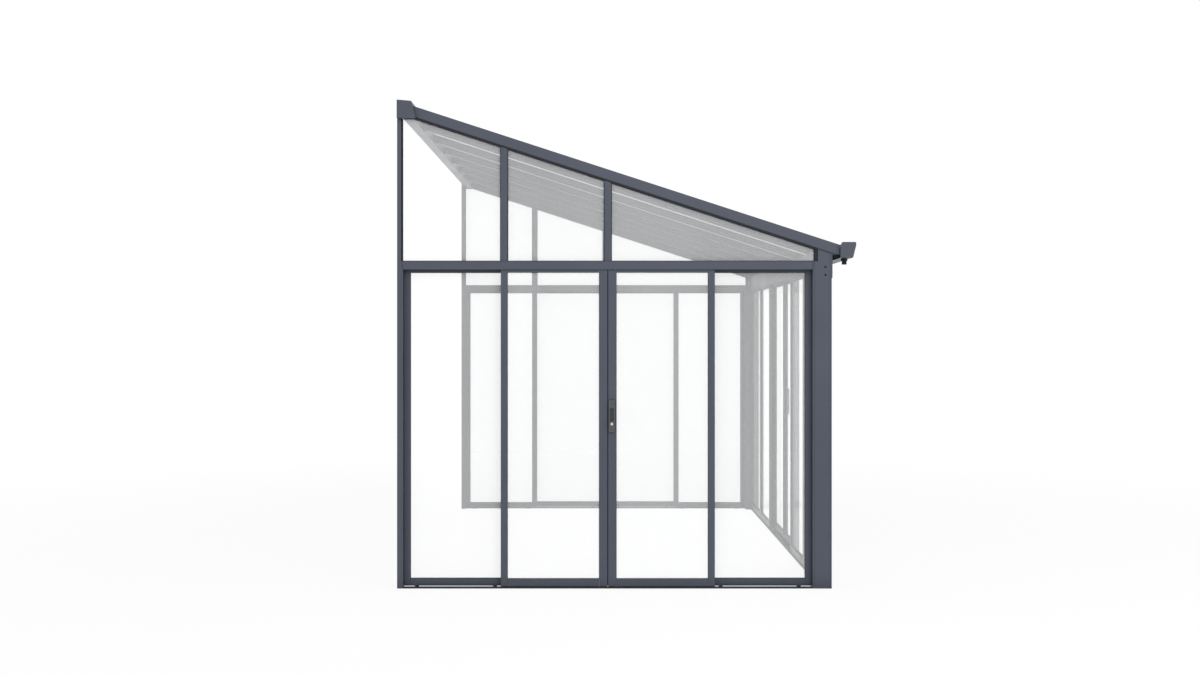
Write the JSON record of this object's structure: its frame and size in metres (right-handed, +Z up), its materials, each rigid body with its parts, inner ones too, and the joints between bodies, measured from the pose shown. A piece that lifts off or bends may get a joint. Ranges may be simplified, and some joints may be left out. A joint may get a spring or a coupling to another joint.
{
  "type": "lean-to glazed patio room",
  "caption": "Lean-to glazed patio room with a sloping translucent roof, a gutter, glazed gables and sliding double doors in three walls, open to the house.",
  "frame": {"origin": "centre of the overall box in plan, at ground level", "axes": "+X from the house to the garden, +Y along the house, +Z up"},
  "size_m": [2.936, 4.34, 3.127],
  "materials": {
    "frame_paint": "satin powder coat",
    "dark_track": "satin",
    "clear_glazing": "clear",
    "roof_sheet": "translucent opal",
    "black_plastic": "matte",
    "black_rubber": "matte",
    "handle_grey": "satin"
  },
  "bodies": {
    "frame": {"ledger": "frame_paint", "ledger_end_caps": "frame_paint", "side_rafters": "frame_paint", "roof_rafters": "frame_paint", "rafter_caps": "frame_paint", "roof_panels": "roof_sheet", "eave_beam": "frame_paint", "gutter": "frame_paint", "gutter_end_caps": "frame_paint", "gutter_outlet": "black_plastic", "front_posts": "frame_paint", "post_head_brackets": "frame_paint", "wall_jambs": "frame_paint", "side_transoms": "frame_paint", "front_head_track": "frame_paint", "side_sill_tracks": "dark_track", "front_sill_track": "dark_track", "gable_mullions": "frame_paint", "gable_seals": "black_rubber", "gable_panes": "clear_glazing", "left_fixed_frames": "frame_paint", "right_fixed_frames": "frame_paint", "front_fixed_frames": "frame_paint", "fixed_panes": "clear_glazing", "fixed_panel_blocks": "black_plastic"},
    "left_rear_leaf": {"left_rear_leaf_frame": "frame_paint", "left_rear_leaf_pane": "clear_glazing", "left_rear_leaf_rollers": "black_plastic"},
    "left_front_leaf": {"left_front_leaf_frame": "frame_paint", "left_front_leaf_pane": "clear_glazing", "left_front_leaf_rollers": "black_plastic", "left_door_handle": "handle_grey"},
    "right_rear_leaf": {"right_rear_leaf_frame": "frame_paint", "right_rear_leaf_pane": "clear_glazing", "right_rear_leaf_rollers": "black_plastic"},
    "right_front_leaf": {"right_front_leaf_frame": "frame_paint", "right_front_leaf_pane": "clear_glazing", "right_front_leaf_rollers": "black_plastic", "right_door_handle": "handle_grey"},
    "front_left_leaf": {"front_left_leaf_frame": "frame_paint", "front_left_leaf_pane": "clear_glazing", "front_left_leaf_rollers": "black_plastic", "front_door_handle": "handle_grey"},
    "front_right_leaf": {"front_right_leaf_frame": "frame_paint", "front_right_leaf_pane": "clear_glazing", "front_right_leaf_rollers": "black_plastic"}
  },
  "joints": [
    {"name": "left_rear_leaf_slide", "type": "slide", "parent": "frame", "child": "left_rear_leaf", "axis": [-1, 0, 0], "range_m": [0, 0.615]},
    {"name": "left_front_leaf_slide", "type": "slide", "parent": "frame", "child": "left_front_leaf", "axis": [1, 0, 0], "range_m": [0, 0.615]},
    {"name": "right_rear_leaf_slide", "type": "slide", "parent": "frame", "child": "right_rear_leaf", "axis": [-1, 0, 0], "range_m": [0, 0.615]},
    {"name": "right_front_leaf_slide", "type": "slide", "parent": "frame", "child": "right_front_leaf", "axis": [1, 0, 0], "range_m": [0, 0.615]},
    {"name": "front_left_leaf_slide", "type": "slide", "parent": "frame", "child": "front_left_leaf", "axis": [0, -1, 0], "range_m": [0, 1.32]},
    {"name": "front_right_leaf_slide", "type": "slide", "parent": "frame", "child": "front_right_leaf", "axis": [0, 1, 0], "range_m": [0, 1.32]}
  ]
}
